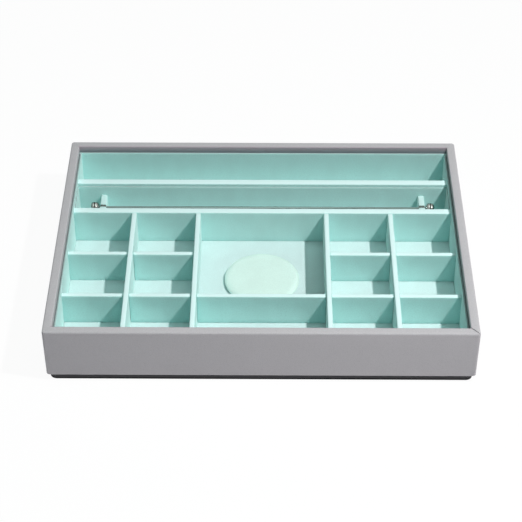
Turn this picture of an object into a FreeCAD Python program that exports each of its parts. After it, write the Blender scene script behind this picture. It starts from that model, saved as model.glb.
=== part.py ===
import FreeCAD, Part
import math
import operator
import os
import Sketcher

# Jewelry tray that stacks: wrapped board walls on a dark foot, velvet-covered linings and dividers,
# a round pad in the middle bay, and a lift-out bar whose right-hand end knob unscrews.
# Frame: millimetres, +X to the right, +Y to the back, +Z up, origin on the ground under the middle.

DRIVING_SIZES = (
    ("tray_width", 250.0, "outside, left to right"),
    ("tray_depth", 180.0, "outside, front to back"),
    ("wall_height", 34.5, "wrapped wall, from the foot to the rim"),
    ("wall_board", 4.0, "thickness of the board inside each wall"),
    ("wrap_thickness", 0.65, "leatherette, backing cloth and glue"),
    ("corner_radius", 2.2, "upright outer corners"),
    ("rim_round", 1.2, "both edges of the rim"),
    ("hem_round", 1.4, "lower outer edge of the wall"),
    ("inner_fold", 14.0, "how far the wrap comes down inside the wall"),
    ("under_fold", 3.4, "how far the wrap turns in under the wall"),
    ("seam_width", 0.24, "mitre seam of the wrap at each rim corner"),
    ("seam_depth", 0.4, "depth of that seam"),
    ("foot_inset", 1.5, "foot set back from the wall"),
    ("foot_corner", 4.0, "corner radius of the foot"),
    ("foot_board", 3.2, "thickness of the foot's board"),
    ("foot_felt", 0.8, "thickness of the felt under it"),
    ("foot_round", 0.5, "edges of the foot's board"),
    ("floor_board", 2.2, "thickness of the inner floor board"),
    ("floor_lining", 1.5, "thickness of the velvet-covered floor card"),
    ("liner_thickness", 1.0, "velvet-covered card on the walls"),
    ("liner_drop", 4.2, "top of the wall cards below the rim"),
    ("liner_round", 0.4, "top edges of the thin cards"),
    ("divider_drop", 7.5, "top of the long and column dividers below the rim"),
    ("cross_step", 2.0, "top of the cross dividers below the long ones"),
    ("long_divider", 4.8, "thickness of the long dividers"),
    ("column_divider", 3.1, "thickness of the column dividers"),
    ("cross_divider", 3.1, "thickness of the cross dividers"),
    ("divider_round", 0.7, "top edges of the dividers"),
    ("tongue", 0.8, "how far a divider's end is let into its neighbour"),
    ("slot_gap", 0.1, "play round a let-in end"),
    ("back_bay_depth", 23.5, "clear depth of the bay along the back wall"),
    ("bar_bay_depth", 24.2, "clear depth of the bay with the bar"),
    ("middle_bay_width", 77.0, "clear width of the middle bay"),
    ("bay_card", 0.9, "thin card that lines the bar bay"),
    ("support_inset", 14.0, "bar support from the end card of its bay"),
    ("support_thickness", 4.0, "thickness of a bar support"),
    ("support_height", 15.0, "height of a bar support above the floor"),
    ("support_crown", 1.5, "top edges of a bar support"),
    ("notch_lip", 0.6, "lips of its notch"),
    ("bar_diameter", 2.0, "rod"),
    ("bar_play", 0.05, "play of the rod in its notches, each side"),
    ("bar_sink", 1.85, "rod's axis below the top of its supports"),
    ("bar_set_back", 11.8, "rod's axis in front of the rear long divider"),
    ("end_float", 0.4, "from a support to the collar beside it"),
    ("collar_diameter", 4.2, "ring at each end of the rod"),
    ("collar_length", 0.5, "thickness of that ring"),
    ("collar_round", 0.2, "outer edges of that ring"),
    ("stud_diameter", 1.4, "turned-down end of the rod"),
    ("stud_grip", 2.6, "length of that end inside the knob"),
    ("stud_play", 0.05, "play of that end in collar and knob, each side"),
    ("knob_diameter", 7.2, "round knob at each end"),
    ("knob_length", 4.8, "knob, from the collar to its tip"),
    ("knob_round", 1.7, "edges of the knob"),
    ("groove_width", 0.6, "groove round the middle of the knob"),
    ("groove_depth", 0.3, "depth of that groove"),
    ("pad_diameter", 46.0, "round pad at its widest"),
    ("pad_set_forward", 1.5, "pad in front of the middle of its bay"),
    ("pad_card", 0.8, "card disc under the pad"),
    ("pad_tuck", 0.65, "how far the pad draws in at its foot"),
    ("pad_side", 1.4, "height of the pad's rounded side"),
    ("pad_crown", 1.4, "rise of the pad's top from its edge to its middle"),
)

# A rounding takes at most this share of the wall that it is on.
ROUNDED_SHARE = 0.45
# Points and heights this near are the same.
SAME_PLACE = 1e-5
DIAGONAL = math.sqrt(0.5)

OPERATIONS = {
    "+": operator.add,
    "-": operator.sub,
    "*": operator.mul,
    "/": operator.truediv,
}


class Size:
    """A length known as a number and as the sheet expression that gives it."""

    def __init__(self, number, text):
        self.number = number
        self.text = text

    def __add__(self, other):
        return combined(self, other, "+")

    def __radd__(self, other):
        return combined(other, self, "+")

    def __sub__(self, other):
        return combined(self, other, "-")

    def __rsub__(self, other):
        return combined(other, self, "-")

    def __mul__(self, other):
        return combined(self, other, "*")

    def __rmul__(self, other):
        return combined(other, self, "*")

    def __truediv__(self, other):
        return combined(self, other, "/")

    def __neg__(self):
        return combined(-1, self, "*")


def as_size(value):
    return value if isinstance(value, Size) else Size(value, str(value))


def combined(left, right, sign):
    left = as_size(left)
    right = as_size(right)
    number = OPERATIONS[sign](left.number, right.number)
    return Size(number, f"({left.text} {sign} {right.text})")


def smaller_of(left, right):
    return Size(min(left.number, right.number), f"min({left.text}; {right.text})")


doc = FreeCAD.newDocument("jewelry_tray")
sheet = doc.addObject("Spreadsheet::Sheet", "Sizes")
sizes = {}
for row, (alias, number, meaning) in enumerate(DRIVING_SIZES, start=1):
    sheet.set(f"A{row}", alias)
    sheet.set(f"B{row}", str(number))
    sheet.setAlias(f"B{row}", alias)
    sheet.set(f"C{row}", meaning)
    sizes[alias] = Size(number, f"Sizes.{alias}")
doc.recompute()


def bind(item, name, value):
    item.setExpression(name, as_size(value).text)


def new_body(label):
    body = doc.addObject("PartDesign::Body", label)
    body.Label = label
    return body


def new_sketch(body, role, lift=0, shift=0):
    """A sketch on one of the body's planes, lifted along the plane's normal, shifted along its Y."""
    sketch = body.newObject("Sketcher::SketchObject", f"{body.Label}_sketch")
    plane = next(item for item in body.Origin.OriginFeatures if item.Role == role)
    sketch.AttachmentSupport = (plane, [""])
    sketch.MapMode = "FlatFace"
    bind(sketch, "AttachmentOffset.Base.z", lift)
    bind(sketch, "AttachmentOffset.Base.y", shift)
    return sketch


class Bend:
    """The centre of an arc, under a half circle, between two points of an outline."""

    def __init__(self, x, y):
        self.centre = (as_size(x), as_size(y))


def vector_of(point):
    return FreeCAD.Vector(point[0].number, point[1].number, 0)


def place_point(sketch, geometry, position, point, axes=(0, 1)):
    """Fix a point of the sketch by its distances from the origin, each bound to its size."""
    kinds = ("DistanceX", "DistanceY")
    for axis in axes:
        value = point[axis]
        constraint = Sketcher.Constraint(kinds[axis], -1, 1, geometry, position, value.number)
        index = sketch.addConstraint(constraint)
        sketch.setExpression(f"Constraints[{index}]", value.text)


def draw_outline(sketch, steps):
    """A closed outline of points, with a Bend between the two points that an arc joins."""
    points = [tuple(as_size(value) for value in step) for step in steps if not isinstance(step, Bend)]
    bends = {}
    count = 0
    for step in steps:
        if isinstance(step, Bend):
            bends[count - 1] = step.centre
        else:
            count += 1
    ends = []
    for index, start in enumerate(points):
        first = vector_of(start)
        last = vector_of(points[(index + 1) % len(points)])
        if index in bends:
            centre = vector_of(bends[index])
            chord_middle = (first + last) * 0.5
            outwards = (chord_middle - centre).normalize()
            middle = centre + outwards * (first - centre).Length
            geometry = sketch.addGeometry(Part.Arc(first, middle, last))
            begins_first = sketch.getPoint(geometry, 1).distanceToPoint(first) < SAME_PLACE
        else:
            geometry = sketch.addGeometry(Part.LineSegment(first, last))
            begins_first = True
        ends.append((geometry, 1 if begins_first else 2, 2 if begins_first else 1))
    for index, (geometry, _, finish) in enumerate(ends):
        following, begin, _ = ends[(index + 1) % len(ends)]
        sketch.addConstraint(Sketcher.Constraint("Coincident", geometry, finish, following, begin))
    for index, (geometry, begin, _) in enumerate(ends):
        place_point(sketch, geometry, begin, points[index])
        if index in bends:
            chord = vector_of(points[(index + 1) % len(points)]) - vector_of(points[index])
            across = 1 if abs(chord.x) > abs(chord.y) else 0
            place_point(sketch, geometry, 3, bends[index], (across,))


def draw_rectangle(sketch, x0, x1, y0, y1):
    draw_outline(sketch, [(x0, y0), (x1, y0), (x1, y1), (x0, y1)])


def draw_rounded_rectangle(sketch, half_x, half_y, radius):
    in_x = half_x - radius
    in_y = half_y - radius
    draw_outline(
        sketch,
        [
            (-in_x, -half_y), (in_x, -half_y), Bend(in_x, -in_y),
            (half_x, -in_y), (half_x, in_y), Bend(in_x, in_y),
            (in_x, half_y), (-in_x, half_y), Bend(-in_x, in_y),
            (-half_x, in_y), (-half_x, -in_y), Bend(-in_x, -in_y),
        ],
    )


def pad_up(body, sketch, height):
    pad = body.newObject("PartDesign::Pad", f"{body.Label}_pad")
    pad.Profile = sketch
    bind(pad, "Length", height)
    doc.recompute()


def cut(body, sketch, depth, upwards=True):
    """Cut the sketch out of the body, against the sketch's normal unless upwards."""
    before = body.Shape.Volume
    pocket = body.newObject("PartDesign::Pocket", f"{body.Label}_cut")
    pocket.Profile = sketch
    pocket.Reversed = upwards
    bind(pocket, "Length", depth)
    doc.recompute()
    if not body.Shape.Volume < before:
        raise RuntimeError(f"a cut in {body.Label} removed nothing")


def revolve(body, sketch, axis):
    turned = body.newObject("PartDesign::Revolution", f"{body.Label}_revolution")
    turned.Profile = sketch
    turned.ReferenceAxis = (sketch, [axis])
    turned.Angle = 360
    doc.recompute()


def round_edges(body, radius, chosen):
    """Fillet those edges of the body's last feature that the test picks."""
    base = body.Tip
    names = [f"Edge{index}" for index, edge in enumerate(base.Shape.Edges, start=1) if chosen(edge)]
    fillet = body.newObject("PartDesign::Fillet", f"{body.Label}_fillet")
    fillet.Base = (base, names)
    bind(fillet, "Radius", radius)
    doc.recompute()


def lies_at(edge, height):
    """Whether an edge lies all along at one height."""
    box = edge.BoundBox
    return abs(box.ZMin - height.number) < SAME_PLACE and abs(box.ZMax - height.number) < SAME_PLACE


def runs_along(edge, length_name):
    """Whether an edge runs along X or Y, named by its bound box's length."""
    box = edge.BoundBox
    return getattr(box, length_name) > DIAGONAL * box.DiagonalLength


def upright_board(label, x0, x1, y0, y1, z0, z1, rounding, long_way):
    """A standing board with its two long top edges rounded."""
    body = new_body(label)
    sketch = new_sketch(body, "XY_Plane", z0)
    draw_rectangle(sketch, x0, x1, y0, y1)
    pad_up(body, sketch, z1 - z0)
    round_edges(body, rounding, lambda edge: lies_at(edge, z1) and runs_along(edge, long_way))
    return body


def flat_board(label, half_x, half_y, z0, thickness):
    body = new_body(label)
    sketch = new_sketch(body, "XY_Plane", z0)
    draw_rectangle(sketch, -half_x, half_x, -half_y, half_y)
    pad_up(body, sketch, thickness)
    return body


# Heights, from the ground up.
foot_top = sizes["foot_felt"] + sizes["foot_board"]
rim_top = foot_top + sizes["wall_height"]
floor_board_top = foot_top + sizes["floor_board"]
floor_top = floor_board_top + sizes["floor_lining"]
liner_top = rim_top - sizes["liner_drop"]
long_top = rim_top - sizes["divider_drop"]
cross_top = long_top - sizes["cross_step"]
support_top = floor_top + sizes["support_height"]
bar_z = support_top - sizes["bar_sink"]

# Faces of the walls and of their linings, as distances from the middle.
half_width = sizes["tray_width"] / 2
half_depth = sizes["tray_depth"] / 2
rim_width = sizes["wall_board"] + 2 * sizes["wrap_thickness"]
board_out_x = half_width - sizes["wrap_thickness"]
board_out_y = half_depth - sizes["wrap_thickness"]
board_in_x = board_out_x - sizes["wall_board"]
board_in_y = board_out_y - sizes["wall_board"]
inner_x = half_width - rim_width
inner_y = half_depth - rim_width
liner_x = inner_x - sizes["liner_thickness"]
liner_y = inner_y - sizes["liner_thickness"]

# Faces of the dividers, from the back wall to the front one.
rear_long_back = liner_y - sizes["back_bay_depth"]
rear_long_front = rear_long_back - sizes["long_divider"]
front_long_back = rear_long_front - sizes["bar_bay_depth"]
front_long_front = front_long_back - sizes["long_divider"]
row_depth = (front_long_front + liner_y - 2 * sizes["cross_divider"]) / 3
rear_cross_back = front_long_front - row_depth
rear_cross_front = rear_cross_back - sizes["cross_divider"]
front_cross_back = rear_cross_front - row_depth
front_cross_front = front_cross_back - sizes["cross_divider"]

# Faces of the column dividers, from the middle outwards.
inner_column_near = sizes["middle_bay_width"] / 2
inner_column_far = inner_column_near + sizes["column_divider"]
cell_width = (liner_x - inner_column_far - sizes["column_divider"]) / 2
outer_column_near = inner_column_far + cell_width
outer_column_far = outer_column_near + sizes["column_divider"]

# The bar bay and the bar in it.
bay_card_y = rear_long_front - sizes["bay_card"]
bay_card_x = liner_x - sizes["bay_card"]
bar_y = rear_long_front - sizes["bar_set_back"]
support_far = bay_card_x - sizes["support_inset"]
support_near = support_far - sizes["support_thickness"]
shoulder_x = support_far + sizes["end_float"]
collar_end_x = shoulder_x + sizes["collar_length"]
stud_end_x = collar_end_x + sizes["stud_grip"]
knob_tip_x = collar_end_x + sizes["knob_length"]
stud_bore = sizes["stud_diameter"] / 2 + sizes["stud_play"]

cross_rounding = smaller_of(sizes["divider_round"], ROUNDED_SHARE * sizes["cross_divider"])
column_rounding = smaller_of(sizes["divider_round"], ROUNDED_SHARE * sizes["column_divider"])
long_rounding = smaller_of(sizes["divider_round"], ROUNDED_SHARE * sizes["long_divider"])
liner_rounding = smaller_of(sizes["liner_round"], ROUNDED_SHARE * sizes["liner_thickness"])
card_rounding = smaller_of(sizes["liner_round"], ROUNDED_SHARE * sizes["bay_card"])


def make_foot():
    """Felt and board under the walls, set back from them."""
    foot_x = half_width - sizes["foot_inset"]
    foot_y = half_depth - sizes["foot_inset"]
    felt = new_body("foot_felt")
    felt_sketch = new_sketch(felt, "XY_Plane")
    draw_rounded_rectangle(felt_sketch, foot_x, foot_y, sizes["foot_corner"])
    pad_up(felt, felt_sketch, sizes["foot_felt"])
    board = new_body("foot_board")
    board_sketch = new_sketch(board, "XY_Plane", sizes["foot_felt"])
    draw_rounded_rectangle(board_sketch, foot_x, foot_y, sizes["foot_corner"])
    pad_up(board, board_sketch, sizes["foot_board"])
    rounding = smaller_of(sizes["foot_round"], ROUNDED_SHARE * sizes["foot_board"])
    round_edges(board, rounding, lambda edge: lies_at(edge, sizes["foot_felt"]))
    return [felt, board]


def make_wall_board(label, along_x, side):
    """One wall's board, mitred at both ends, with the outer corners eased to suit the wrap."""
    radius = sizes["corner_radius"] - sizes["wrap_thickness"]
    ease = radius * (1 - DIAGONAL)
    out_along = board_out_x if along_x else board_out_y
    out_across = board_out_y if along_x else board_out_x
    in_along = board_in_x if along_x else board_in_y
    in_across = board_in_y if along_x else board_in_x

    def at(along, across):
        return (along, side * across) if along_x else (side * across, along)

    outline = [
        at(-in_along, in_across),
        at(in_along, in_across),
        at(out_along - ease, out_across - ease), Bend(*at(out_along - radius, out_across - radius)),
        at(out_along - radius, out_across),
        at(radius - out_along, out_across), Bend(*at(radius - out_along, out_across - radius)),
        at(ease - out_along, out_across - ease),
    ]
    body = new_body(label)
    bottom = foot_top + sizes["wrap_thickness"]
    sketch = new_sketch(body, "XY_Plane", bottom)
    draw_outline(sketch, outline)
    pad_up(body, sketch, rim_top - sizes["wrap_thickness"] - bottom)
    return body


def make_wrap():
    """The leatherette round the walls: down the outside, over the rim, a fold inside and one below."""
    body = new_body("leatherette_wrap")
    block = new_sketch(body, "XY_Plane", foot_top)
    draw_rounded_rectangle(block, half_width, half_depth, sizes["corner_radius"])
    pad_up(body, block, sizes["wall_height"])
    hem_rounding = smaller_of(sizes["hem_round"], ROUNDED_SHARE * sizes["wall_height"])
    round_edges(body, hem_rounding, lambda edge: lies_at(edge, foot_top))
    opening = new_sketch(body, "XY_Plane", foot_top)
    draw_rectangle(opening, -inner_x, inner_x, -inner_y, inner_y)
    cut(body, opening, sizes["wall_height"])
    rim_rounding = smaller_of(sizes["rim_round"], ROUNDED_SHARE * rim_width)
    round_edges(body, rim_rounding, lambda edge: lies_at(edge, rim_top))

    under = new_sketch(body, "XY_Plane", foot_top)
    under_x = half_width - sizes["under_fold"]
    under_y = half_depth - sizes["under_fold"]
    draw_rectangle(under, -under_x, under_x, -under_y, under_y)
    cut(body, under, sizes["wrap_thickness"])

    cavity_corner = sizes["corner_radius"] - sizes["wrap_thickness"]
    cavity_bottom = foot_top + sizes["wrap_thickness"]
    fold_bottom = rim_top - sizes["inner_fold"]
    below_fold = new_sketch(body, "XY_Plane", cavity_bottom)
    draw_rounded_rectangle(below_fold, board_out_x, board_out_y, cavity_corner)
    cut(body, below_fold, fold_bottom - cavity_bottom)
    behind_fold = new_sketch(body, "XY_Plane", fold_bottom)
    draw_rounded_rectangle(behind_fold, board_out_x, board_out_y, cavity_corner)
    draw_rectangle(behind_fold, -board_in_x, board_in_x, -board_in_y, board_in_y)
    cut(body, behind_fold, sizes["inner_fold"] - sizes["wrap_thickness"])

    seams = new_sketch(body, "XY_Plane", rim_top)
    half_seam = sizes["seam_width"] * DIAGONAL
    reach = sizes["rim_round"]
    for side_x in (-1, 1):
        for side_y in (-1, 1):
            near_x = side_x * (inner_x - reach)
            near_y = side_y * (inner_y - reach)
            far_x = side_x * (half_width + reach)
            far_y = side_y * (half_depth + reach)
            offset_x = side_x * half_seam
            offset_y = side_y * half_seam
            draw_outline(
                seams,
                [
                    (near_x - offset_x, near_y),
                    (near_x, near_y - offset_y),
                    (far_x, far_y - offset_y),
                    (far_x - offset_x, far_y),
                ],
            )
    cut(body, seams, sizes["seam_depth"], upwards=False)
    return body


def make_walls():
    return [
        make_wall_board("front_wall_board", True, -1),
        make_wall_board("back_wall_board", True, 1),
        make_wall_board("left_wall_board", False, -1),
        make_wall_board("right_wall_board", False, 1),
        make_wrap(),
    ]


def make_floor():
    board = flat_board(
        "floor_board",
        board_in_x - sizes["slot_gap"],
        board_in_y - sizes["slot_gap"],
        foot_top,
        sizes["floor_board"],
    )
    lining = flat_board(
        "floor_lining",
        liner_x - sizes["slot_gap"],
        liner_y - sizes["slot_gap"],
        floor_board_top,
        sizes["floor_lining"],
    )
    return [board, lining]


def make_wall_liners():
    """Velvet-covered cards inside the walls; the side ones stand between the other two."""
    bodies = []
    for name, side in (("front", -1), ("back", 1)):
        faces = (inner_y, liner_y) if side < 0 else (liner_y, inner_y)
        bodies.append(
            upright_board(
                f"{name}_wall_liner", -inner_x, inner_x, side * faces[0], side * faces[1],
                floor_board_top, liner_top, liner_rounding, "XLength",
            )
        )
    for name, side in (("left", -1), ("right", 1)):
        faces = (inner_x, liner_x) if side < 0 else (liner_x, inner_x)
        bodies.append(
            upright_board(
                f"{name}_wall_liner", side * faces[0], side * faces[1], -liner_y, liner_y,
                floor_board_top, liner_top, liner_rounding, "YLength",
            )
        )
    return bodies


# Each column divider: the X of its two faces, and which faces take the ends of which cross dividers.
ROWS = {
    "rear": (rear_cross_front, rear_cross_back),
    "front": (front_cross_front, front_cross_back),
}
COLUMNS = {
    "outer_left": (-outer_column_far, -outer_column_near, ("rear", "front"), ("rear", "front")),
    "inner_left": (-inner_column_far, -inner_column_near, ("rear", "front"), ("front",)),
    "inner_right": (inner_column_near, inner_column_far, ("front",), ("rear", "front")),
    "outer_right": (outer_column_near, outer_column_far, ("rear", "front"), ("rear", "front")),
}


def make_long_dividers():
    rear = upright_board(
        "rear_long_divider", -liner_x, liner_x, rear_long_front, rear_long_back,
        floor_top, long_top, long_rounding, "XLength",
    )
    front = upright_board(
        "front_long_divider", -liner_x, liner_x, front_long_front, front_long_back,
        floor_top, long_top, long_rounding, "XLength",
    )
    slots = new_sketch(front, "XY_Plane", floor_top)
    depth = sizes["tongue"] + sizes["slot_gap"]
    for left, right, _, _ in COLUMNS.values():
        draw_rectangle(
            slots, left - sizes["slot_gap"], right + sizes["slot_gap"],
            front_long_front - sizes["slot_gap"], front_long_front + depth,
        )
    cut(front, slots, long_top - floor_top)
    return [rear, front]


def make_column_divider(name, left, right, left_rows, right_rows):
    """A divider from the front wall to the front long divider, slotted for the cross dividers."""
    body = upright_board(
        f"{name}_column_divider", left, right, -liner_y, front_long_front + sizes["tongue"],
        floor_top, long_top, column_rounding, "YLength",
    )
    slots = new_sketch(body, "XY_Plane", floor_top)
    gap = sizes["slot_gap"]
    depth = sizes["tongue"] + gap
    left_face = (left_rows, left - gap, left + depth)
    right_face = (right_rows, right - depth, right + gap)
    for rows, slot_left, slot_right in (left_face, right_face):
        for row in rows:
            front, back = ROWS[row]
            draw_rectangle(slots, slot_left, slot_right, front - gap, back + gap)
    cut(body, slots, cross_top - floor_top + gap)
    return body


def make_cross_dividers():
    """Short dividers across each column of cells, and one across the middle bay."""
    tongue = sizes["tongue"]
    spans = {
        "outer_left": (-liner_x, -outer_column_far + tongue, ("rear", "front")),
        "inner_left": (-outer_column_near - tongue, -inner_column_far + tongue, ("rear", "front")),
        "middle": (-inner_column_near - tongue, inner_column_near + tongue, ("front",)),
        "inner_right": (inner_column_far - tongue, outer_column_near + tongue, ("rear", "front")),
        "outer_right": (outer_column_far - tongue, liner_x, ("rear", "front")),
    }
    return [
        upright_board(
            f"{name}_{row}_cross_divider", left, right, *ROWS[row],
            floor_top, cross_top, cross_rounding, "XLength",
        )
        for name, (left, right, rows) in spans.items()
        for row in rows
    ]


def make_bay_cards():
    """Thin cards that line the back and the two ends of the bar bay."""
    back = upright_board(
        "bar_bay_back_card", -liner_x, liner_x, bay_card_y, rear_long_front,
        floor_top, cross_top, card_rounding, "XLength",
    )
    left = upright_board(
        "bar_bay_left_card", -liner_x, -bay_card_x, front_long_back, bay_card_y,
        floor_top, cross_top, card_rounding, "YLength",
    )
    right = upright_board(
        "bar_bay_right_card", bay_card_x, liner_x, front_long_back, bay_card_y,
        floor_top, cross_top, card_rounding, "YLength",
    )
    return [back, left, right]


def make_bar_support(label, side):
    """A low board across the bar bay, crowned on top, with an open notch that the rod drops into."""
    left, right = (support_near, support_far) if side > 0 else (-support_far, -support_near)
    rounding = smaller_of(sizes["support_crown"], ROUNDED_SHARE * sizes["support_thickness"])
    body = upright_board(
        label, left, right, front_long_back, bay_card_y,
        floor_top, support_top, rounding, "YLength",
    )
    notch = sizes["bar_diameter"] / 2 + sizes["bar_play"]
    lip = sizes["notch_lip"]
    sketch = new_sketch(body, "YZ_Plane", left)
    draw_outline(
        sketch,
        [
            (bar_y + notch + lip, support_top), Bend(bar_y + notch + lip, support_top - lip),
            (bar_y + notch, support_top - lip),
            (bar_y + notch, bar_z), Bend(bar_y, bar_z),
            (bar_y, bar_z - notch), Bend(bar_y, bar_z),
            (bar_y - notch, bar_z),
            (bar_y - notch, support_top - lip), Bend(bar_y - notch - lip, support_top - lip),
            (bar_y - notch - lip, support_top),
        ],
    )
    cut(body, sketch, sizes["support_thickness"])
    return body


def turned_piece(label, outline):
    """A piece turned about the bar's axis, from its outline of (X, radius) points."""
    body = new_body(label)
    sketch = new_sketch(body, "XZ_Plane", -bar_y, bar_z)
    draw_outline(sketch, outline)
    revolve(body, sketch, "H_Axis")
    return body


def make_rod():
    radius = sizes["bar_diameter"] / 2
    stud = sizes["stud_diameter"] / 2
    return turned_piece(
        "bar_rod",
        [
            (-stud_end_x, 0), (stud_end_x, 0), (stud_end_x, stud), (shoulder_x, stud),
            (shoulder_x, radius), (-shoulder_x, radius), (-shoulder_x, stud), (-stud_end_x, stud),
        ],
    )


def make_collar(label, side):
    radius = sizes["collar_diameter"] / 2
    ease = smaller_of(sizes["collar_round"], ROUNDED_SHARE * sizes["collar_length"])
    return turned_piece(
        label,
        [
            (side * shoulder_x, stud_bore),
            (side * shoulder_x, radius - ease), Bend(side * (shoulder_x + ease), radius - ease),
            (side * (shoulder_x + ease), radius),
            (side * (collar_end_x - ease), radius), Bend(side * (collar_end_x - ease), radius - ease),
            (side * collar_end_x, radius - ease),
            (side * collar_end_x, stud_bore),
        ],
    )


def make_knob(label, side):
    """A round knob with full edges, a groove round its middle and a blind bore for the rod's stud."""
    radius = sizes["knob_diameter"] / 2
    ease = smaller_of(sizes["knob_round"], ROUNDED_SHARE * sizes["knob_length"])
    middle_x = (collar_end_x + knob_tip_x) / 2
    half_groove = smaller_of(sizes["groove_width"] / 2, ROUNDED_SHARE * (sizes["knob_length"] - 2 * ease))
    bore_end_x = stud_end_x + sizes["stud_play"]
    return turned_piece(
        label,
        [
            (side * collar_end_x, stud_bore),
            (side * collar_end_x, radius - ease), Bend(side * (collar_end_x + ease), radius - ease),
            (side * (collar_end_x + ease), radius),
            (side * (middle_x - half_groove), radius),
            (side * middle_x, radius - sizes["groove_depth"]),
            (side * (middle_x + half_groove), radius),
            (side * (knob_tip_x - ease), radius), Bend(side * (knob_tip_x - ease), radius - ease),
            (side * knob_tip_x, radius - ease),
            (side * knob_tip_x, 0),
            (side * bore_end_x, 0),
            (side * bore_end_x, stud_bore),
        ],
    )


def make_bar():
    return [
        make_rod(),
        make_collar("fixed_end_collar", -1),
        make_knob("fixed_end_knob", -1),
        make_collar("screw_end_collar", 1),
        make_knob("screw_end_knob", 1),
    ]


def make_pad():
    """A round pad on a card disc: drawn in at its foot, full at its side, crowned on top."""
    pad_y = (front_long_front + front_cross_back) / 2 - sizes["pad_set_forward"]
    foot_radius = sizes["pad_diameter"] / 2 - sizes["pad_tuck"]
    card = new_body("pad_card")
    card_sketch = new_sketch(card, "XZ_Plane", -pad_y, floor_top)
    card_top = sizes["pad_card"]
    draw_outline(card_sketch, [(0, 0), (foot_radius, 0), (foot_radius, card_top), (0, card_top)])
    revolve(card, card_sketch, "V_Axis")

    # The side is an arc through the foot and the shoulder that reaches the full width half way up.
    side = sizes["pad_side"]
    tuck = sizes["pad_tuck"]
    side_radius = (side * side / 4 + tuck * tuck) / (2 * tuck)
    side_centre = sizes["pad_diameter"] / 2 - side_radius
    crown = sizes["pad_crown"]
    crown_radius = (foot_radius * foot_radius + crown * crown) / (2 * crown)
    cushion = new_body("pad_cushion")
    sketch = new_sketch(cushion, "XZ_Plane", -pad_y, floor_top + sizes["pad_card"])
    draw_outline(
        sketch,
        [
            (0, 0),
            (foot_radius, 0), Bend(side_centre, side / 2),
            (sizes["pad_diameter"] / 2, side / 2), Bend(side_centre, side / 2),
            (foot_radius, side), Bend(0, side + crown - crown_radius),
            (0, side + crown),
        ],
    )
    revolve(cushion, sketch, "V_Axis")
    return [card, cushion]


pieces = make_foot() + make_walls() + make_floor() + make_wall_liners() + make_long_dividers()
pieces += [make_column_divider(name, *column) for name, column in COLUMNS.items()]
pieces += make_cross_dividers() + make_bay_cards()
pieces += [make_bar_support("left_bar_support", -1), make_bar_support("right_bar_support", 1)]
pieces += make_bar() + make_pad()
doc.recompute()

for item in doc.Objects:
    if "Invalid" in item.State or "Error" in item.State:
        raise RuntimeError(f"{item.Label} could not be made")
for piece in pieces:
    if piece.Shape.isNull() or not piece.Shape.isValid() or len(piece.Shape.Solids) != 1:
        raise RuntimeError(f"{piece.Label} is not one sound solid")

os.makedirs("parts", exist_ok=True)
for piece in pieces:
    piece.Shape.exportStep(f"parts/{piece.Label}.step")
print(f"{len(pieces)} pieces written")
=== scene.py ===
import math

import bmesh
import bpy
from mathutils import Matrix, Vector


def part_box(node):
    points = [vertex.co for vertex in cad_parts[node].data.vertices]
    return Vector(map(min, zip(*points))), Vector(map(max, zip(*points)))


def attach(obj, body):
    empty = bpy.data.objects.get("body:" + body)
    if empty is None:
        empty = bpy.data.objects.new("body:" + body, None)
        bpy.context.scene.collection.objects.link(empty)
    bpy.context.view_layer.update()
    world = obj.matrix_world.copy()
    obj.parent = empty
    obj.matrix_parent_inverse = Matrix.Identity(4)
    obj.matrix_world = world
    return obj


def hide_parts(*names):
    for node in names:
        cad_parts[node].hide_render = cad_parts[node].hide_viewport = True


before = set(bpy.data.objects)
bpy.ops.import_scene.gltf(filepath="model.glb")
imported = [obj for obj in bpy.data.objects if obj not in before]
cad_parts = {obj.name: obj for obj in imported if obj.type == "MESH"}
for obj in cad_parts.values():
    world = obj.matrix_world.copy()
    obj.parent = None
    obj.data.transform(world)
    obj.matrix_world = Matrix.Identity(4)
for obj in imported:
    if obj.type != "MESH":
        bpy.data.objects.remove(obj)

# Jewelry tray: grey leatherette walls on a dark foot, mint velvet dividers and linings, a round padded
# disc, and a polished bar that lifts out and whose right-hand knob unscrews.
# Everything is in metres, in the tray's own frame: +X to the right, +Y to the back, +Z up.

MM = 0.001
TINY = 0.01 * MM
X, Y, Z = 0, 1, 2
SMOOTH_ANGLE = math.radians(40)
TURNED_SIDES = 48

# How nearly an edge or a face has to lie or look along an axis, as a cosine
NEARLY_ALONG = 0.99
NEARLY_FACING = 0.9
SQUARELY_FACING = 0.999

# Steps across a rounded edge
EASED_STEPS = 2
SOFT_STEPS = 5
ROUND_STEPS = 6
FULL_STEPS = 8

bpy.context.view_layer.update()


# Modelling by hand


def begin(name, add_primitive, **settings):
    """Add a primitive with nothing else selected, put its place in its mesh and open it in edit mode."""
    bpy.ops.object.select_all(action="DESELECT")
    add_primitive(**settings)
    piece = bpy.context.object
    piece.name = name
    piece.data.name = name
    bpy.ops.object.transform_apply(location=True, rotation=True, scale=True)
    bpy.ops.object.mode_set(mode="EDIT")
    return piece


def begin_block(name, low, high):
    """A block between two corners."""
    return begin(
        name,
        bpy.ops.mesh.primitive_cube_add,
        size=1,
        location=(low + high) / 2,
        scale=high - low,
    )


def begin_turned(name, radius, start, end, around):
    """A cylinder along X from start to end, with its axis at the Y and Z of around."""
    return begin(
        name,
        bpy.ops.mesh.primitive_cylinder_add,
        vertices=TURNED_SIDES,
        radius=radius,
        depth=abs(end - start),
        location=((start + end) / 2, around.y, around.z),
        rotation=(0, math.pi / 2, 0),
    )


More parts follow.
